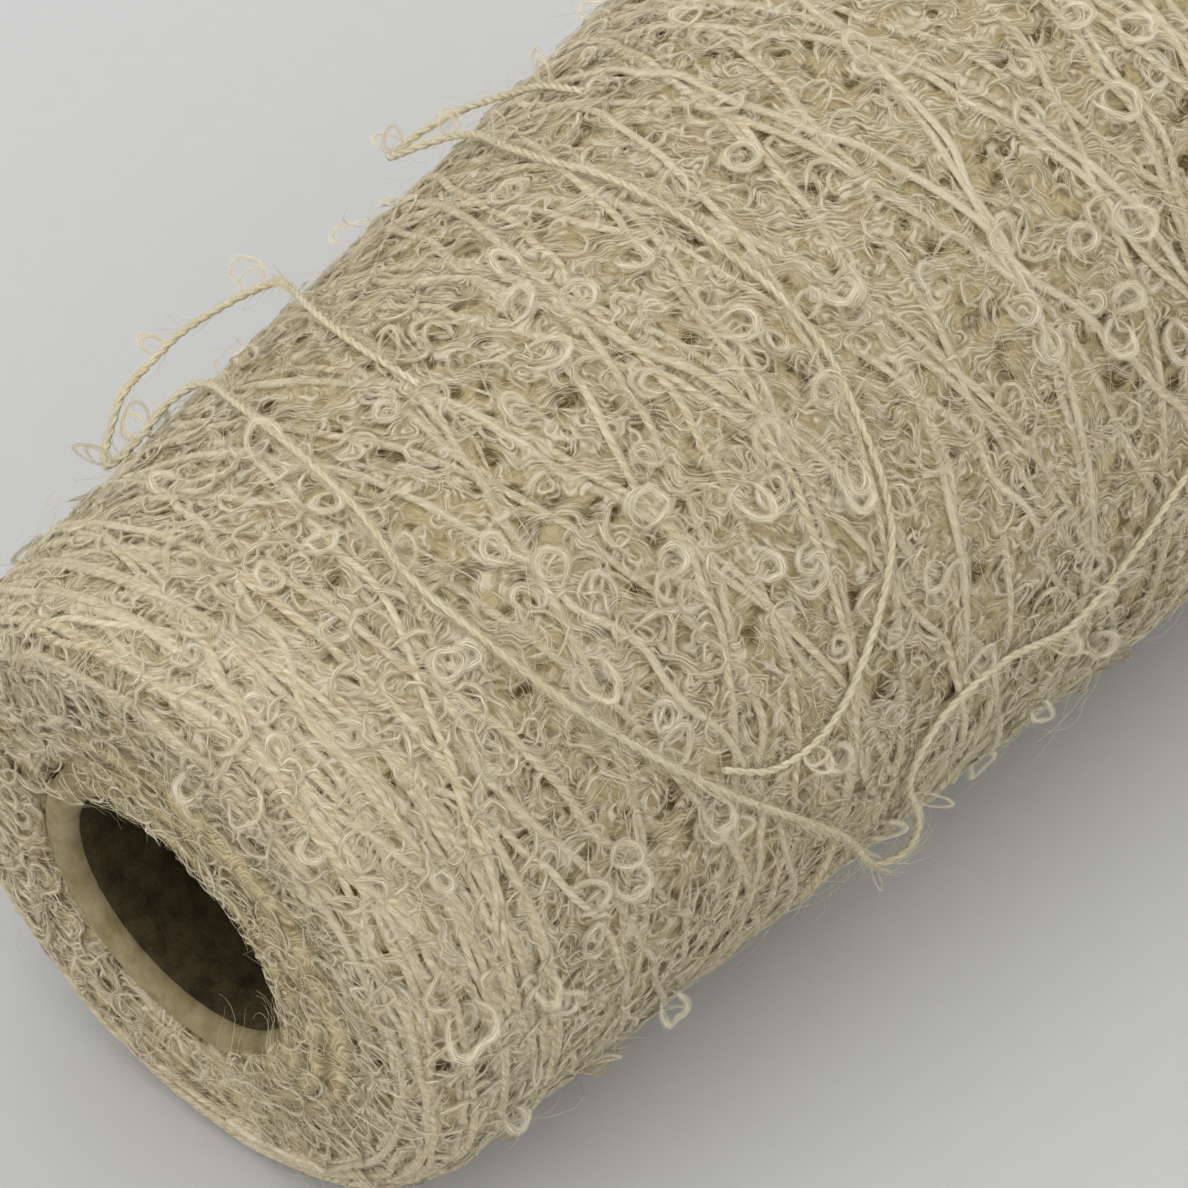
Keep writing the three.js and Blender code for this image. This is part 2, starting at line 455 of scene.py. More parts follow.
def makeStrandMaterial(name, look):
    material, tree = newMaterial(name)
    travelled, tone = readStrand(tree, "travelled", "tone")
    place = addNode(tree, "TexCoord").outputs["Object"]
    section = readSection(tree)
    angle = addNode(tree, "Math", [section["Y"], section["X"]], operation="ARCTAN2")
    twice = addNode(tree, "Math", [angle, 2.0], operation="MULTIPLY")
    bars = addNode(tree, "Math", [travelled, fullTurn / look["barSpacing"], twice], operation="MULTIPLY_ADD")
    wave = addNode(tree, "Math", [bars], operation="SINE")
    wound = addNode(tree, "Math", [travelled, fullTurn / look["lay"], angle], operation="MULTIPLY_ADD")
    cosine = addNode(tree, "Math", [wound], operation="COSINE")
    sine = addNode(tree, "Math", [wound], operation="SINE")
    stretch = 1 / look["streakLength"] / look["streaksRound"]
    down = addNode(tree, "Math", [travelled, stretch], operation="MULTIPLY")
    spiral = addNode(tree, "CombineXYZ", [cosine, sine, down])
    streaks = addNode(tree, "TexNoise", {"Vector": spiral, "Scale": look["streaksRound"], "Detail": 1.0})
    patches = addNode(tree, "TexNoise", {"Vector": place, "Scale": 1 / look["patchSize"], "Detail": 0.0})
    height = addNode(tree, "Math", [wave, look["barShare"], streaks], operation="MULTIPLY_ADD")
    # The colour darkens as the strand lies lower, between plies and fibres: painted shade
    plies = addShades(tree, height, 0.28, 0.72, look["paintedGrooveShade"], look["crown"])
    shade = addNode(tree, "Math", [tone, patches], operation="MULTIPLY")
    toned = addShades(tree, shade, 0.0, 1.0, plies, look["pale"])
    bump = addSoftBump(tree, height, look["bumpDepth"], 0.5, look["softness"])
    return finishMaterial(material, toned, bump, **silk(0.55))


# Brushed fibre lying side by side in a band: pale and silky, thick along its middle and thinning out to its
# edges and ends, so that what is under it shows through
bandLook = {
    "dark": "#bda778", "light": "#f5eacf", "fibresAcross": 9.0, "fibreLength": 0.0024, "thickest": 0.95,
}
loopLook = {**bandLook, "dark": "#d9c697", "light": "#fbf3de", "thickest": 0.75}
haloLook = {**loopLook, "thickest": 0.5}
# The loose strands' halo: a paler copy of the loops' colours, painted light
cordHaloLookPaintedLight = {**loopLook, "dark": "#ecdcae", "light": "#fdf3d6", "thickest": 0.4}


# 1 along the middle of a band, and falling to 0 at its edges and its two ends
def addBell(tree):
    ends = readStrand(tree, "ends")[0]
    edge = addNode(tree, "Math", [readSection(tree)["Y"]], operation="ABSOLUTE")
    outer = addNode(tree, "Math", [ends, 0.7, edge], operation="MULTIPLY_ADD")
    return addNode(tree, "MapRange", [outer, 0.05, 0.85, 1.0, 0.0], interpolation_type="SMOOTHSTEP")


def makeBandMaterial(name, look):
    material, tree = newMaterial(name)
    travelled, tone = readStrand(tree, "travelled", "tone")
    down = addNode(tree, "Math", [travelled, 1 / look["fibreLength"]], operation="MULTIPLY")
    own = addNode(tree, "Math", [tone, 900.0], operation="MULTIPLY")  # no two bands alike
    wide = addNode(
        tree, "Math", [readSection(tree)["Y"], look["fibresAcross"], own],
        operation="MULTIPLY_ADD",
    )
    fibreAt = addNode(tree, "CombineXYZ", [wide, down])
    fibres = addNode(
        tree, "TexNoise", {"Vector": fibreAt, "Scale": 1.0, "Detail": 1.0}, noise_dimensions="2D"
    )
    most = look["thickest"]
    dense = addNode(tree, "MapRange", [fibres, 0.32, 0.6, 0.3 * most, most])
    cover = addNode(tree, "Math", [addBell(tree), dense], operation="MULTIPLY")
    colour = addShades(tree, fibres, 0.34, 0.66, look["dark"], look["light"])
    bump = addNode(tree, "Bump", {"Height": fibres, "Strength": 0.3, "Distance": 0.0001})
    return finishMaterial(material, colour, bump, Alpha=cover, **silk(0.45, 0.4))


# Mohair fibre lying in whorls. With a cover it is a thin pale veil, brushed up off the yarn, that softens
# what is under it. Without one it is the imported inside: a mat, olive brown where its fibre lies thin and
# pale where it lies thick, which is painted shade of its depths.
def makeWhorledMaterial(name, look, banded=False):
    material, tree = newMaterial(name)
    fibres, raised = addWhorls(tree, look)
    gloss = silk(*look["silk"])
    if "cover" in look:
        cover = addNode(tree, "MapRange", [raised, *look["cover"]])
        if banded:
            cover = addNode(tree, "Math", [cover, addBell(tree)], operation="MULTIPLY")
        gloss["Alpha"] = cover
    # Without a cover the colour follows how thick the fibre lies: painted shade, darker in the depths
    shaded = fibres if "cover" in look else raised
    colour = addShades(tree, shaded, *look["shades"], look["dark"], look["light"])
    strength, depth = look["bump"]
    bump = addNode(tree, "Bump", {"Height": fibres, "Strength": strength, "Distance": depth})
    return finishMaterial(material, colour, bump, **gloss)


# Loose mohair fibre, brushed and unspun: smoother and paler than the strand, with a silky glint
fibreLook = {"root": "#dccb9c", "tip": "#f3e8c8", "streakSize": 0.0004}


def makeFibreMaterial(name, look):
    material, tree = newMaterial(name)
    tone = readStrand(tree, "tone")[0]
    place = addNode(tree, "TexCoord").outputs["Object"]
    streaks = addNode(tree, "TexNoise", {"Vector": place, "Scale": 1 / look["streakSize"], "Detail": 0.0})
    share = addNode(tree, "Math", [streaks, 0.8, tone], operation="MULTIPLY_ADD")
    colour = addShades(tree, share, 0.1, 1.5, look["root"], look["tip"])
    return finishMaterial(material, colour, addSoftBump(tree, streaks, 0.0001, 0.3, 0.3), **silk(0.5, 0.4))


mohairStrand = makeStrandMaterial("mohairStrandTwoPly", strandLook)
mohairCord = makeStrandMaterial("mohairStrandLoosePaintedLight", cordLookPaintedLight)
mohairFibre = makeFibreMaterial("mohairFibreBrushed", fibreLook)
mohairLoops = makeBandMaterial("mohairLoopsBrushed", loopLook)
mohairTufts = makeBandMaterial("mohairTuftsBrushed", bandLook)
mohairHalo = makeBandMaterial("mohairHaloBrushed", haloLook)
mohairCordHalo = makeBandMaterial("mohairHaloLoosePaintedLight", cordHaloLookPaintedLight)


# Loose strands, first as they are cords. Their sections turn once for each lay of the plies.
def twistedUprights(line, lay):
    ahead, upright = aheadAndOut(line)
    for i in range(1, len(line)):  # carried along the line without turning
        upright[i] = squareTo(ahead[i], upright[i - 1])
    beside = np.cross(ahead, upright)
    turn = (np.arange(len(line)) * twoPly["step"] * fullTurn / lay)[:, None]
    return upright * np.cos(turn) + beside * np.sin(turn)


for name, cord in looseStrands.items():
    line = smoothRoute(cord["route"])
    cord["line"] = line
    cord["item"] = growStrands(
        name + "_yarn", [line], [np.full(len(line), 1.0)], mohairCord,
        uprights=[twistedUprights(line, twoPly["lay"])], tones=[0.9],
        **{"Plies": 2, "Sides": twoPly["plySides"], "Ply Radius": twoPly["plyRadius"],
           "Ply Offset": twoPly["plyOffset"]},
    )
    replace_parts(cord["item"], name)

# The winding's outline, from the nose face to the base face, in millimetres
winding = {
    "noseFace": [(2.3, 0), (1.2, 3), (0.9, 7)],  # along, and out from the paper cone
    "noseShoulder": [(0.9, 5.4), (1.5, 3), (2.9, 1.2), (5.1, 0.3), (8, 0)],  # along, and in from the skin
    "baseShoulder": [(150, 0), (153, 0.6), (155.4, 2.2), (156.8, 5)],
    "baseFace": [(157.2, 9), (156.4, 0)],
    "cornerCuts": 3,
    "points": 600,
    "skinWithin": 0.0002,  # metres from the straight skin at which the shoulder has reached it
    "basePoints": 20,
}
floorGap = 0.00012


def windingOutline(sizes):
    faces = {
        side: [(s / 1000, coneRadius(s / 1000) + package["pieceGap"] + out / 1000) for s, out in sizes[side]]
        for side in ("noseFace", "baseFace")
    }
    shoulders = sizes["noseShoulder"] + sizes["baseShoulder"]
    skin = [(s / 1000, skinRadius(s / 1000) - inset / 1000) for s, inset in shoulders]
    line = np.array(faces["noseFace"] + skin + faces["baseFace"])
    for _ in range(sizes["cornerCuts"]):
        middle = np.stack([0.75 * line[:-1] + 0.25 * line[1:], 0.25 * line[:-1] + 0.75 * line[1:]], axis=1)
        line = np.vstack([line[:1], middle.reshape(-1, 2), line[-1:]])
    line, run = spreadEvenly(line, sizes["points"])
    along, out = unit(np.gradient(line, run, axis=0)).T
    return {"run": run, "along": line[:, 0], "radius": line[:, 1], "ahead": -out, "out": along}


outline = windingOutline(winding)
windingLength = outline["run"][-1]


# What the outline says at a run along it
def outlineAt(run, key):
    return np.interp(run, outline["run"], outline[key])


def radiusAt(run):
    return outlineAt(run, "radius")


# A place on the winding: run along its outline, round it, and lift off its skin
def onWinding(run, around, lift, clearance=0.0004):
    along = outlineAt(run, "along") + lift * outlineAt(run, "ahead")
    points = onPackage(along, radiusAt(run) + lift * outlineAt(run, "out"), around)
    points[..., 2] = np.maximum(points[..., 2], clearance + floorGap)
    return points


# Where on the outline a place of the skin lies that is given along the axis
def runAt(along):
    reached = package["yarnRadius"] - winding["skinWithin"]
    first = np.searchsorted(outline["radius"] - slope * outline["along"], reached)
    skin = slice(first, -winding["basePoints"])
    return np.interp(along, outline["along"][skin], outline["run"][skin])


# A closed body that rides with the package, of rings of points; its last ring is joined to its first
def ringedBody(name, rings, slot, *materials):
    points = np.concatenate(rings)
    corner = np.arange(points.shape[0] * points.shape[1]).reshape(points.shape[:2])
    after = np.roll(corner, -1, axis=0)
    faces = np.stack([corner, np.roll(corner, -1, axis=1), np.roll(after, -1, axis=1), after], axis=-1)
    mesh = bpy.data.meshes.new(name)
    mesh.from_pydata(points.reshape(-1, 3).tolist(), [], faces.reshape(-1, 4).tolist())
    mesh.polygons.foreach_set("use_smooth", np.ones(corner.size, dtype=bool))
    for material in materials:
        mesh.materials.append(material)
    print(f"{name}: {2 * corner.size} triangles")
    return addPiece(name, mesh)


def spotsRound(sides):
    return np.linspace(0, fullTurn, sides, endpoint=False)


# Slow ripples over the winding, from -2 to 2, a row to each run
def ripples(rng, run, around, twist, lobes):
    twisted = drift(rng, run, 0.004)[:, None] * np.cos(3 * around + twist * run[:, None])
    return twisted + drift(rng, run, 0.006)[:, None] * np.cos(lobes * around)


# Core: the imported inside, which shows between the strands. Its colour darkens where its fibre lies thin, as
# painted shade of its depths.
coreShape = {"seed": 21, "lift": 0.00025, "ripple": 0.0002, "sides": 112, "step": 0.002, "innerRings": 10}
packedLookPaintedShade = {
    # dark is painted shade of the depths between the strands; light is the fibre on top
    "dark": "#5a4a29", "light": "#c4b389", "whorlSize": 0.0034, "fibreSpacing": 0.00016, "shift": 0.0,
    "whorlShare": 0.5, "shades": (0.4, 1.1), "bump": (0.6, 0.0003), "silk": (0.7, 0.2),
}


def makeCore(shape):
    rng = np.random.default_rng(shape["seed"])
    run = np.linspace(0, windingLength, int(windingLength / shape["step"]))
    around = spotsRound(shape["sides"])
    lift = shape["lift"] + shape["ripple"] * ripples(rng, run, around, 200, 7)
    outer = onWinding(run[:, None], around, lift, 0.0001)
    along = np.linspace(outline["along"][-1], outline["along"][0], shape["innerRings"] + 2)[1:-1, None]
    inner = onPackage(along, coneRadius(along) + package["pieceGap"], around)
    packed = makeWhorledMaterial("mohairPackedInsidePaintedShade", packedLookPaintedShade)
    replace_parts(ringedBody("winding_core", [outer, inner], "mohair", packed), "wound_yarn")


makeCore(coreShape)

# Haze: a thin closed skin of brushed fibre over the turns, whose inner side lies out of sight in the core
haze = {"seed": 23, "lift": 0.0009, "innerLift": -0.0014, "ripple": 0.00025, "rings": 100}
hazeLook = {
    "dark": "#bba577", "light": "#f5eacf", "whorlSize": 0.0042, "fibreSpacing": 0.00016, "shift": 0.31,
    "whorlShare": 0.35, "shades": (0.34, 0.66), "bump": (0.5, 0.0002), "silk": (0.55, 0.3),
    "cover": (0.52, 1.0, 0.0, 0.62),  # bare below, full above, and how dense at each
}


def makeHaze(name, spec):
    rng = np.random.default_rng(spec["seed"])
    around = spotsRound(coreShape["sides"])
    run = np.linspace(0.0003, windingLength - 0.0003, spec["rings"])
    lift = spec["lift"] + spec["ripple"] * ripples(rng, run, around, 150, 8)
    outer = onWinding(run[:, None], around, lift, 0.0)
    inner = onWinding(run[::-4, None], around, spec["innerLift"], 0.0)
    ringedBody(name, [outer, inner], "mohair", makeWhorledMaterial(name + "_fibre", hazeLook))


makeHaze("brushed_haze", haze)

# Turns: the yarn laid to and fro along the winding, one strand to a band. A band has its passes, the turns in
# each, the runs that it turns back between at the nose and at the base, where negative ones count from the
# far end, and how far it wanders.
turnSets = {
    "under_turns": {
        "seed": 31, "lift": -0.0001, "liftDrift": 0.0003, "halfWidth": 0.00046, "sides": 3, "step": 0.0027,
        "bands": [
            (30, 2.118, (0.008, 0.016), (-0.016, -0.008), 0.0034),
            (4, 6.3, (0.001, 0.003), (0.020, 0.028), 0.0008),
            (4, 6.3, (-0.030, -0.022), (-0.003, -0.001), 0.0008),
        ],
    },
    "outer_turns": {
        "seed": 32, "lift": 0.0005, "liftDrift": 0.0004, "halfWidth": 0.00047, "sides": 5, "step": 0.0016,
        "halo": 0.00095, "haloTones": [0.1, 0.4, 0.7],
        "bands": [
            (22, 2.618, (0.012, 0.018), (-0.016, -0.009), 0.0036),
            (3, 5.6, (0.011, 0.014), (0.026, 0.036), 0.0014),
            (3, 5.6, (-0.028, -0.022), (-0.004, -0.002), 0.0011),
        ],
    },
}
wanderWaves = ((0.7, 0.019), (0.35, 0.007), (0.22, 0.0042))  # share and wavelength
liftWaves = ((0.6, 0.05), (0.6, 0.009))


def bandLine(rng, band, spec):
    passes, turnsEach, nose, base, wander = band
    nearEnds, farEnds = (rng.uniform(*span, passes + 2) for span in (nose, base))
    nearEnds, farEnds = (np.where(ends < 0, ends + windingLength, ends) for ends in (nearEnds, farEnds))
    runs, arounds = [], []
    around = rng.uniform(0, fullTurn)
    for i in range(passes):
        start, end = (nearEnds[i], farEnds[i]) if i % 2 == 0 else (farEnds[i - 1], nearEnds[i + 1])
        turns = turnsEach + rng.uniform(-0.03, 0.03)
        count = int(turns * fullTurn * radiusAt((start + end) / 2) / spec["step"])
        part = np.arange(count) / count
        speed = np.clip(np.minimum(part, 1 - part) / 0.07, 0.04, 1)  # it slows down where it turns back
        runs.append(start + (end - start) * np.cumsum(speed) / speed.sum())
        arounds.append(around + fullTurn * turns * part)
        around += fullTurn * turns
    run, around = np.concatenate(runs), np.concatenate(arounds)
    travelled = np.arange(len(run)) * spec["step"]
    unsteady = 0.25 + 0.75 * np.abs(drift(rng, travelled, 0.11))
    waves = sum(share * drift(rng, travelled, length) for share, length in wanderWaves)
    run = np.clip(run + wander * unsteady * waves, 0.0004, windingLength - 0.0004)
    lift = spec["liftDrift"] * sum(share * drift(rng, travelled, length) for share, length in liftWaves)
    return onWinding(run, around, spec["lift"] + lift, spec["halfWidth"]), travelled


def makeTurns(name, spec):
    rng = np.random.default_rng(spec["seed"])
    lines, widths, tones = [], [], []
    for band in spec["bands"]:
        line, travelled = bandLine(rng, band, spec)
        lines.append(line)
        widths.append(1 + 0.14 * drift(rng, travelled, 0.004))
        tones.append(0.5 + 0.5 * drift(rng, travelled, 0.09))
    growStrands(
        name, lines, [spec["halfWidth"] * width for width in widths], mohairStrand,
        tones=np.concatenate(tones), Sides=spec["sides"],
    )
    if "halo" in spec:
        around = [line[::2] + 0.0003 * outwardAt(line[::2]) for line in lines]
        growStrands(
            name + "_halo", around, [spec["halo"] * width[::2] for width in widths], mohairHalo,
            tones=spec["haloTones"], Flatness=0.2, **flatBand,
        )


for name, spec in turnSets.items():
    makeTurns(name, spec)


# Places spread over the winding's skin by area, none on its flat underside. Patchy ones leave parts bare.
def scatter(rng, count, margin=0.003, patchy=0.0, upTo=None):
    run = rng.uniform(margin, upTo or windingLength - margin, count * 8)
    around = rng.uniform(-math.pi, math.pi, len(run))
    patch = 0.5 + 0.5 * np.sin(3 * around + 110 * run) * np.sin(5 * around - 150 * run + 1.3)
    keep = rng.uniform(0, np.max(radiusAt(run)), len(run)) < radiusAt(run) * (1 - patchy * patch)
    keep &= np.cos(around) > -0.95
    return run[keep][:count], around[keep][:count]


# Rings of fibre thrown off the skin: each goes once round or more, and its ends go back in
def ringLines(rng, run, around, lift, diameter, tilt, sweep, points):
    part = np.linspace(-0.5, 0.5, points)[None, :]
    column = columns(rng, len(run))
    heading = column(0, fullTurn)
    turn = fullTurn * sweep[:, None] * part * np.where(column(0, 1) < 0.5, -1, 1)
    radius = diameter[:, None] / 2 * (1 + column(-0.35, 0.35) * part)
    for lobes, share in ((2, 0.13), (3, 0.11), (5, 0.05)):
        radius = radius * (1 + column(0, share) * np.sin(lobes * turn + column(0, fullTurn)))
    radius = radius * (1 + 0.5 * (2 * part) ** 6)
    x = radius * np.cos(turn)
    y = radius * np.sin(turn) * column(0.72, 1.0)
    ahead = x * np.cos(heading) - y * np.sin(heading)
    side = x * np.sin(heading) + y * np.cos(heading)
    rise = tilt[:, None] * radius * (1 + np.cos(turn))
    height = lift[:, None] + rise - 0.0007 * (2 * part) ** 8 + 0.00012 * np.sin(2 * turn + heading)
    return onWinding(run[:, None] + ahead, around[:, None] + side / radiusAt(run)[:, None], height, 0.0008)


ringlets = {
    "seed": 41,
    "count": 420,
    "diameter": (0.0024, 0.0042),
    "halfWidth": (0.00060, 0.00100),
    "flatness": 0.15,
    "points": 18,
    "strayed": 0.0003,  # of the second strand of each ring from its first
}
# Rings that stand out: millimetres along the axis, degrees round it, and millimetres across
standingRings = np.array([
    (77.8, -11.9, 5.2), (71.4, -20.7, 5.5), (100.1, 22.1, 4.5), (70.1, -46.6, 5), (38.9, -75, 5.3),
    (55.6, -81.5, 4.6), (38.5, -28.3, 5.6), (35.4, -21.7, 4.5), (11, -28.5, 5), (7, -16, 4),
    (17.3, -2.6, 4.5), (23.4, -30.3, 5.6), (96.7, -50.1, 4.5), (106.8, -42.4, 5), (120.1, -31.6, 5.8),
    (75.9, -84.8, 5.4), (61.9, -41.1, 4.5), (46.3, -42.3, 5), (38.8, -60.6, 5), (22.6, -71.8, 5.5),
    (28.3, -76.4, 4.5), (28, 0.2, 4.6), (58.3, 3.5, 4.5), (100.5, -35.1, 5), (110.7, -61.3, 5),
    (73.1, -66.7, 4.5), (22.3, -79.4, 5),
])


# The way each ring faces, so that its band of fibre lies flat in the ring's own plane
def facings(lines):
    spokes = lines - lines.mean(axis=1, keepdims=True)
    facing = unit(np.cross(spokes[:, :-1], spokes[:, 1:]).sum(axis=1))
    inward = np.sum(facing * outwardAt(lines.mean(axis=1)), axis=1, keepdims=True) < 0
    return np.repeat(np.where(inward, -facing, facing)[:, None, :], lines.shape[1], axis=1)


# How a strand of fibre thins from its middle to its ends
def thinning(points, loss, power):
    return 1 - loss * np.abs(np.linspace(-1, 1, points)) ** power


def makeRinglets(spec):
    rng = np.random.default_rng(spec["seed"])
    run, around = scatter(rng, spec["count"])
    size = rng.uniform(*spec["diameter"], len(run))
    run = np.repeat(np.concatenate([run, runAt(standingRings[:, 0] / 1000)]), 2)
    around = np.repeat(np.concatenate([around, np.radians(standingRings[:, 1])]), 2)
    size = np.repeat(np.concatenate([size, standingRings[:, 2] / 1350]), 2)
    count = len(run)
    scattered = count - 2 * len(standingRings)
    run = run + rng.normal(0, spec["strayed"], count)
    around = around + rng.normal(0, spec["strayed"], count) / radiusAt(run)
    size = size * rng.uniform(0.75, 1.1, count)
    lift = rng.uniform(0.0003, 0.0009, count)
    lift[scattered:] += 0.0003
    tilt = np.abs(rng.normal(0, 0.15, count))
    tilt[:scattered:4] = rng.uniform(0.3, 0.8, len(tilt[:scattered:4]))  # these stand up
    lines = ringLines(rng, run, around, lift, size, tilt, rng.uniform(0.8, 1.25, count), spec["points"])
    widths = rng.uniform(*spec["halfWidth"], (count, 1)) * thinning(spec["points"], 0.5, 3)
    growStrands(
        "ringlets", lines, widths, mohairLoops, uprights=facings(lines),
        Flatness=spec["flatness"], **flatBand,
    )


makeRinglets(ringlets)

# Tufts: arcs of brushed fibre that lie all over the skin, each thickest at its middle
tuftSets = {
    "low_tufts": {"seed": 43, "count": 3000, "lift": (0.0, 0.0005), "patchy": 0.0},
    "high_tufts": {"seed": 44, "count": 1700, "lift": (0.0003, 0.0010), "patchy": 0.8},
    "nose_tufts": {"seed": 45, "count": 900, "lift": (0.0003, 0.0012), "patchy": 0.0, "upTo": 0.042},
}
tuft = {
    "diameter": (0.0022, 0.0050),
    "halfWidth": (0.00034, 0.00080),
    "flatness": 0.25,
    "sweep": (0.35, 0.95),
    "tilt": 0.06,
    "lean": 0.15,
    "points": 9,
}


def makeTufts(name, spec):
    rng = np.random.default_rng(spec["seed"])
    run, around = scatter(rng, spec["count"], 0.001, spec["patchy"], spec.get("upTo"))
    count = len(run)
    size = rng.uniform(*tuft["diameter"], count)
    lift = rng.uniform(*spec["lift"], count)
    tilt = np.abs(rng.normal(0, tuft["tilt"], count))
    lines = ringLines(rng, run, around, lift, size, tilt, rng.uniform(*tuft["sweep"], count), tuft["points"])
    widths = rng.uniform(*tuft["halfWidth"], (count, 1)) * thinning(tuft["points"], 0.7, 2.5)
    leaning = outwardAt(lines) + rng.normal(0, tuft["lean"], (count, 1, 3))
    growStrands(name, lines, widths, mohairTufts, uprights=leaning, Flatness=tuft["flatness"], **flatBand)


for name, spec in tuftSets.items():
    makeTufts(name, spec)

# Fuzz: single hairs that bend over the skin, some standing off it
fuzz = {
    "seed": 47,
    "count": 4300,
    "length": (0.004, 0.014),
    "halfWidth": (0.00002, 0.000042),
    "points": 6,
    "standing": 0.35,
    "heading": (0, fullTurn),
    "bend": 4.2,
}


# How far ahead and aside hairs go that set off in any direction and bend as they go
def bentHairs(column, spec):
    part = np.linspace(0, 1, spec["points"])[None, :]
    length = column(*spec["length"])
    heading = column(*spec["heading"]) + column(-spec["bend"], spec["bend"]) * part
    step = length / (spec["points"] - 1)
    ahead, side = (np.cumsum(trend(heading), axis=1) * step for trend in (np.cos, np.sin))
    return part, length, ahead, side


def makeFuzz(spec):
    rng = np.random.default_rng(spec["seed"])
    run, around = scatter(rng, spec["count"], 0.001)
    column = columns(rng, len(run))
    part, length, ahead, side = bentHairs(column, spec)
    rise = np.where(column(0, 1) < spec["standing"], column(0.1, 0.36), column(0.01, 0.09))
    height = column(-0.0002, 0.0007) + length * rise * np.sin(part * column(1.6, 3.1))
    lines = onWinding(run[:, None] + ahead, around[:, None] + side / radiusAt(run)[:, None], height, 0.0001)
    widths = column(*spec["halfWidth"]) * np.linspace(1, 0.4, spec["points"])
    growStrands("fuzz", lines, widths, mohairFibre, **singleHair)


makeFuzz(fuzz)

# Fibre from the nose's face that lies over the paper cone's lip and hangs into its mouth, on the side where
# the winding has been brushed over it: degrees round the axis, from the top towards +Y
lipFibre = {
    "seed": 49,
    "from": (-162, 42),
    "felt": [  # metres out from the axis and along it, half its width, and how far the band leans out
        (0.0236, -0.0001, 0.0030, 0.35),
        (0.0207, -0.0006, 0.0030, 0.15),
        (0.0183, -0.0010, 0.0028, 0.0),
        (0.0167, -0.0007, 0.0018, -0.6),
    ],
    "feltPoints": 70,
    "starts": (0.0170, 0.0240),  # out from the axis
    # How far along the axis the fibre lies where it is this far out from it: in front of the lip, then inside
    "radii": (0.004, 0.012, 0.0142, 0.0152, 0.017, 0.0188, 0.0202, 0.022, 0.030),
    "alongs": (0.002, 0.003, 0.0018, 0.0, -0.0013, -0.0013, -0.0010, -0.0006, 0.0),
}
lipStrands = {
    "lip_tufts": {
        "count": 190, "length": (0.003, 0.006), "halfWidth": (0.0003, 0.0007), "heading": (-3.1, 3.1),
        "bend": 5.0, "points": 9, "innermost": 0.0160, "material": mohairTufts,
        "section": {"Flatness": 0.25, **flatBand},
    },
    "lip_hairs": {
        "count": 260, "length": (0.004, 0.011), "halfWidth": (0.00002, 0.000032), "heading": (-3.1, 3.1),
        "bend": 2.6, "points": 9, "innermost": 0.008, "material": mohairFibre, "section": singleHair,
    },
}
# The felt over the lip: a darker copy of the haze's colours, painted shade on the nose's side, which faces
# away from the light
feltLookPaintedShade = {**hazeLook, "dark": "#a8946a", "light": "#e4d4ab", "cover": (0.3, 0.7, 0.5, 1.0)}


def makeLipFelt(rng, spec):
    lines, widths, uprights = [], [], []
    around = np.radians(np.linspace(*spec["from"], spec["feltPoints"]))
    places = np.arange(spec["feltPoints"]) * 0.001
    spokes = onPackage(0.0, 1.0, around) - onPackage(0.0, 0.0, around)
    for radius, along, halfWidth, lean in spec["felt"]:
        wave = drift(rng, places, 0.006)
        lines.append(onPackage(along - 0.0003 * wave, radius + 0.0007 * wave, around))
        widths.append(halfWidth * (1 + 0.2 * drift(rng, places, 0.008)))
        uprights.append(lean * spokes - axis)
    felt = makeWhorledMaterial("mohairFeltAtLipPaintedShade", feltLookPaintedShade, True)
    growStrands("lip_felt", lines, widths, felt, uprights=uprights, Sides=12, Flatness=0.1)


def makeLipStrands(name, kind, rng, spec):
    column = columns(rng, kind["count"])
    part, length, inward, side = bentHairs(column, kind)
    radius = column(*spec["starts"]) - inward
    around = np.radians(column(*spec["from"])) + side / 0.018  # the mouth's radius
    radius = np.maximum(radius, kind["innermost"])
    along = np.interp(radius, spec["radii"], spec["alongs"]) - column(0, 0.0005)
    along = along - 0.0006 * part * column(0, 1)
    widths = column(*kind["halfWidth"]) * np.linspace(1, 0.4, kind["points"])
    growStrands(name, onPackage(along, radius, around), widths, kind["material"], **kind["section"])


lipRandom = np.random.default_rng(lipFibre["seed"])
makeLipFelt(lipRandom, lipFibre)
for name, kind in lipStrands.items():
    makeLipStrands(name, kind, lipRandom, lipFibre)

coneShape = {"sides": 128, "lipPoints": 12, "outerRings": 24, "boreRings": 24, "edge": 0.0008}


def makePaperMaterial(name, dark, light):
    # Chipboard wound from strips and sealed at the lip: matt, brown and slightly mottled, with fine lint
    material, tree = newMaterial(name)
    place = addNode(tree, "TexCoord").outputs["Object"]
    mottle = addNode(tree, "TexNoise", {"Vector": place, "Scale": 350.0, "Detail": 5.0, "Roughness": 0.6})
    lint = addNode(tree, "TexNoise", {"Vector": place, "Scale": 2400.0, "Detail": 3.0})
    colour = addShades(tree, mottle, 0.35, 0.65, dark, light)
    bump = addNode(tree, "Bump", {"Height": lint, "Strength": 0.5, "Distance": 0.0003})
    return finishMaterial(material, colour, bump, Roughness=0.85)


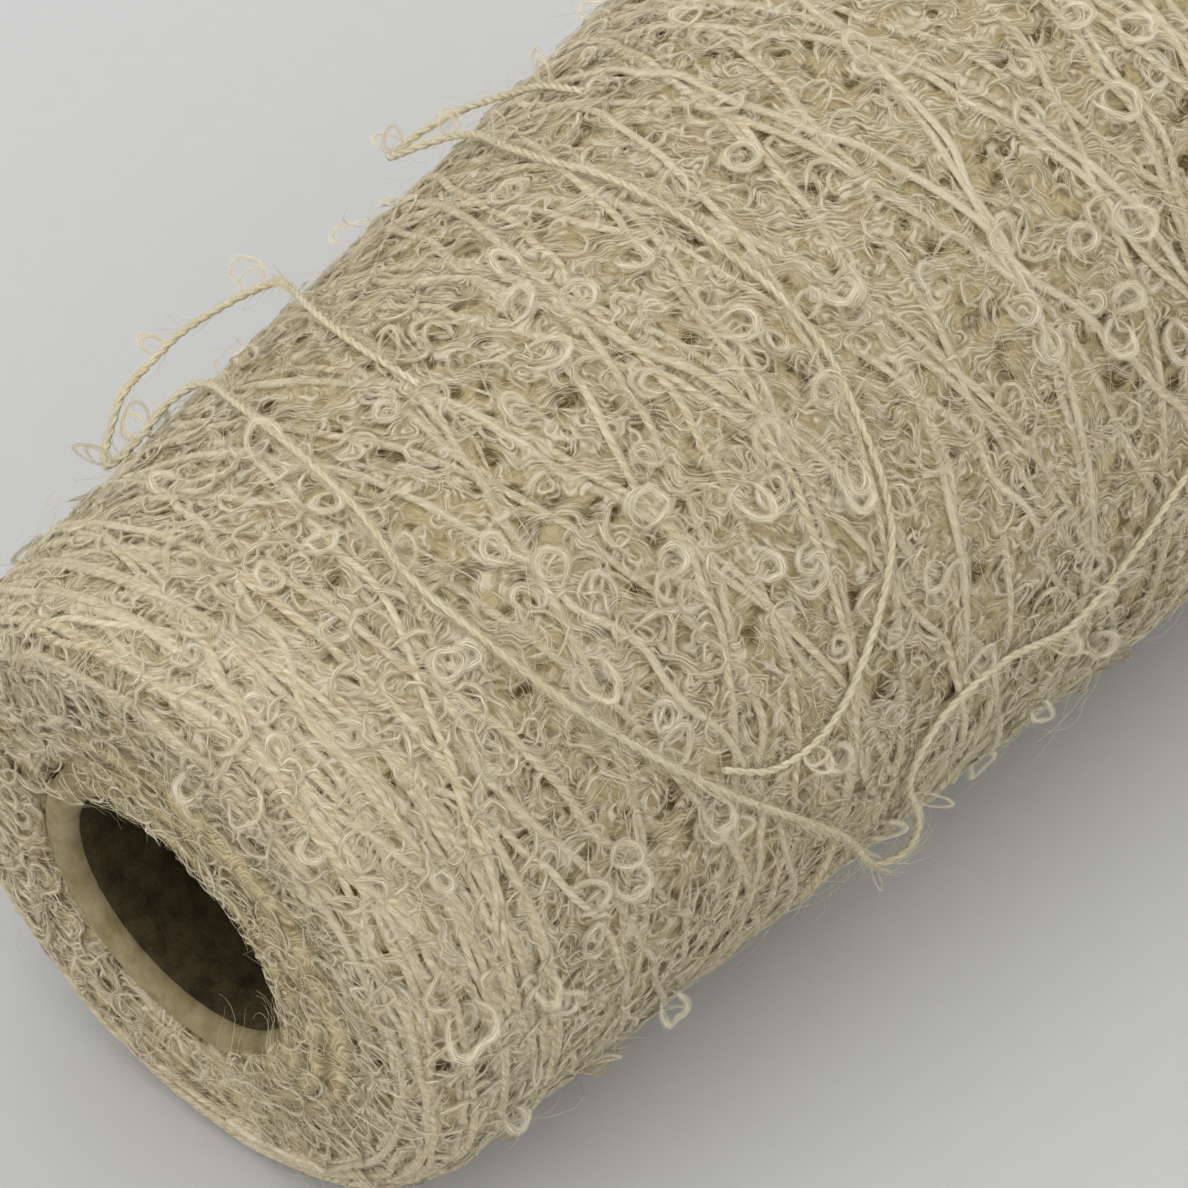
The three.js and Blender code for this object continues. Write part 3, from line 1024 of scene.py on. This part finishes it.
def makePaperCone(shape):
    lip, wall, end, edge = package["lipRadius"], package["coneWall"], package["coneLength"], shape["edge"]
    nose, rim = package["coneNoseRadius"], coneRadius(end)
    turns = np.linspace(0, math.pi, shape["lipPoints"] + 1)
    profile = [(lip - lip * math.sin(turn), nose - lip - lip * math.cos(turn)) for turn in turns]
    profile += [(s, coneRadius(s)) for s in np.linspace(0.006, end - edge, shape["outerRings"])]
    profile += [(end - 0.0002, rim - 0.0002), (end, rim - edge)]
    profile += [(end, rim - wall + edge), (end - edge, rim - wall)]
    profile += [(s, coneRadius(s) - wall) for s in np.linspace(end - 0.002, 0.012, shape["boreRings"])]
    profile += [(0.0065, nose - 2 * lip + 0.0009)]
    rows = np.array(profile)
    rings = onPackage(rows[:, :1], rows[:, 1:], spotsRound(shape["sides"]))
    board = makePaperMaterial("chipboardSpiralWound", "#87774f", "#a59672")
    # The bore's inner paper: kraft brown darkened nearly to black, as painted shade deep in the bore
    liningPaintedShade = makePaperMaterial("kraftLiningPaintedShade", "#33290f", "#5e4f2e")
    item = ringedBody("paper_cone_shell", [rings], "paper", board, liningPaintedShade)
    inside = np.repeat(np.arange(len(rows)) >= len(rows) - shape["boreRings"] - 2, shape["sides"])
    item.data.polygons.foreach_set("material_index", inside.astype(np.int32))
    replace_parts(item, "paper_cone")


makePaperCone(coneShape)

# Brushed fibre goes with each cord: loops at shares of its length, with their millimetres across, fine hairs
# all along it, and a halo round it.
cordFibre = {
    "loose_strand_near": {
        "seed": 61,
        "hairs": 620,
        "loops": [
            (0.02, 4.5), (0.1, 3.6), (0.145, 4.2), (0.19, 3.4), (0.25, 4.6), (0.27, 4), (0.34, 4.4),
            (0.46, 3.8), (0.55, 4.6), (0.6, 4.2), (0.66, 4.8), (0.71, 4.2), (0.745, 3.4), (0.8, 4.2),
            (0.9, 4),
        ],
    },
    "loose_strand_far": {
        "seed": 62,
        "hairs": 360,
        "loops": [
            (0.05, 4.2), (0.2, 3.8), (0.28, 3.6), (0.36, 4.4), (0.52, 4.2), (0.63, 3.8), (0.76, 4.6),
            (0.93, 3.8),
        ],
    },
}
loopPoints, hairPoints = 17, 8


def makeCordLoops(name, spec, rng, line, ahead, out, beside):
    loops, widths = [], []
    part = np.linspace(-0.5, 0.5, loopPoints)
    turn = fullTurn * 1.15 * part
    for share, across in spec["loops"]:
        for size in (1.0, 0.8):  # two strands to a loop
            i = int(share * (len(line) - 1))
            radius = across / 2300 * size * rng.uniform(0.9, 1.1)
            lean = rng.uniform(-0.6, 0.6)
            way = out[i] * math.cos(lean) + beside[i] * math.sin(lean) * rng.choice([-1, 1])
            bulge = radius * (1 + 0.1 * np.sin(2 * turn + rng.uniform(0, fullTurn)))
            reach = ((1 + np.cos(turn)) * bulge)[:, None] * way
            slide = (np.sin(turn) * bulge * rng.uniform(0.75, 1.0))[:, None] * ahead[i]
            loops.append(line[i] + reach + slide)
            widths.append(rng.uniform(0.0004, 0.0006) * thinning(loopPoints, 0.4, 3))
    uprights = facings(np.stack(loops))
    return growStrands(
        name + "_loops", loops, widths, mohairLoops, uprights=uprights, Flatness=0.25, **flatBand
    )


def makeCordHairs(name, spec, rng, line, out, beside):
    start = rng.integers(2, len(line) - 12, spec["hairs"])
    steps = np.arange(hairPoints)[None, :]
    part = steps / (hairPoints - 1)
    column = columns(rng, spec["hairs"])
    along = np.minimum(start[:, None] + (steps * column(0.5, 3.2)).astype(int), len(line) - 1)
    spin = (column(0, fullTurn) + column(-2.5, 2.5) * part)[..., None]
    off = (0.0003 + column(0.0002, 0.0028) * part ** 1.5)[..., None]
    hairs = line[along] + off * (out[along] * np.cos(spin) + beside[along] * np.sin(spin))
    hairs[..., 2] = np.maximum(hairs[..., 2], floorGap)
    widths = column(0.00002, 0.00004) * np.linspace(1, 0.4, hairPoints)
    return growStrands(name + "_hairs", hairs, widths, mohairFibre, **singleHair)


def makeCordHalo(name, rng, line):
    places = np.arange(0, len(line), 4)
    widths = 0.0013 * (1 + 0.35 * drift(rng, places * twoPly["step"], 0.003))
    return growStrands(name + "_halo", [line[places]], [widths], mohairCordHalo, Flatness=0.4, **flatBand)


for name, cord in looseStrands.items():
    spec, line = cordFibre[name], cord["line"]
    rng = np.random.default_rng(spec["seed"])
    ahead, out = aheadAndOut(line)
    beside = np.cross(ahead, out)
    fibre = [makeCordLoops(name, spec, rng, line, ahead, out, beside)]
    fibre += [makeCordHairs(name, spec, rng, line, out, beside), makeCordHalo(name, rng, line)]

room = {
    "floor": ("#d2d2cf", "#d6d6d3"),
    "floorReach": 3,
    "sky": "#f4f5f7",
    "brightest": tuple(Vector((-0.32, -0.03, 1.0)).normalized()),  # the way to the soft box's middle
    "low": 0.3,
    "high": 1.35,
}


def makeRoom(look):
    material, tree = newMaterial("paintedTableTop")
    place = addNode(tree, "TexCoord").outputs["Object"]
    grain = addNode(tree, "TexNoise", {"Vector": place, "Scale": 300.0, "Detail": 3.0})
    finishMaterial(material, addShades(tree, grain, 0.0, 1.0, *look["floor"]), Roughness=0.7)
    mesh = bpy.data.meshes.new("floor")
    reach = look["floorReach"]
    corners = [(reach * x, reach * y, 0) for x, y in ((-1, -1), (1, -1), (1, 1), (-1, 1))]
    mesh.from_pydata(corners, [], [(0, 1, 2, 3)])
    mesh.materials.append(material)
    addObject("floor", mesh)
    world = bpy.data.worlds.new("softBoxAllRound")
    bpy.context.scene.world = world
    world.use_nodes = True
    world.cycles.sampling_method = "NONE"  # so even a dome needs no rays of its own
    tree = world.node_tree
    way = addNode(tree, "TexCoord").outputs["Object"]
    along = addNode(tree, "VectorMath", [way, look["brightest"]], operation="DOT_PRODUCT")
    strength = addNode(
        tree, "MapRange",
        [along.outputs["Value"], -0.2, 1.0, look["low"], look["high"]], interpolation_type="SMOOTHSTEP",
    )
    background = tree.nodes["Background"]
    background.inputs["Color"].default_value = linearColour(look["sky"])
    tree.links.new(strength.outputs[0], background.inputs["Strength"])


makeRoom(room)

bpy.context.scene.view_settings.view_transform = "Standard"
cycles = bpy.context.scene.cycles
cycles.transparent_max_bounces = 24  # fine fibre lies many deep
cycles.max_bounces, cycles.diffuse_bounces, cycles.glossy_bounces = 2, 2, 1
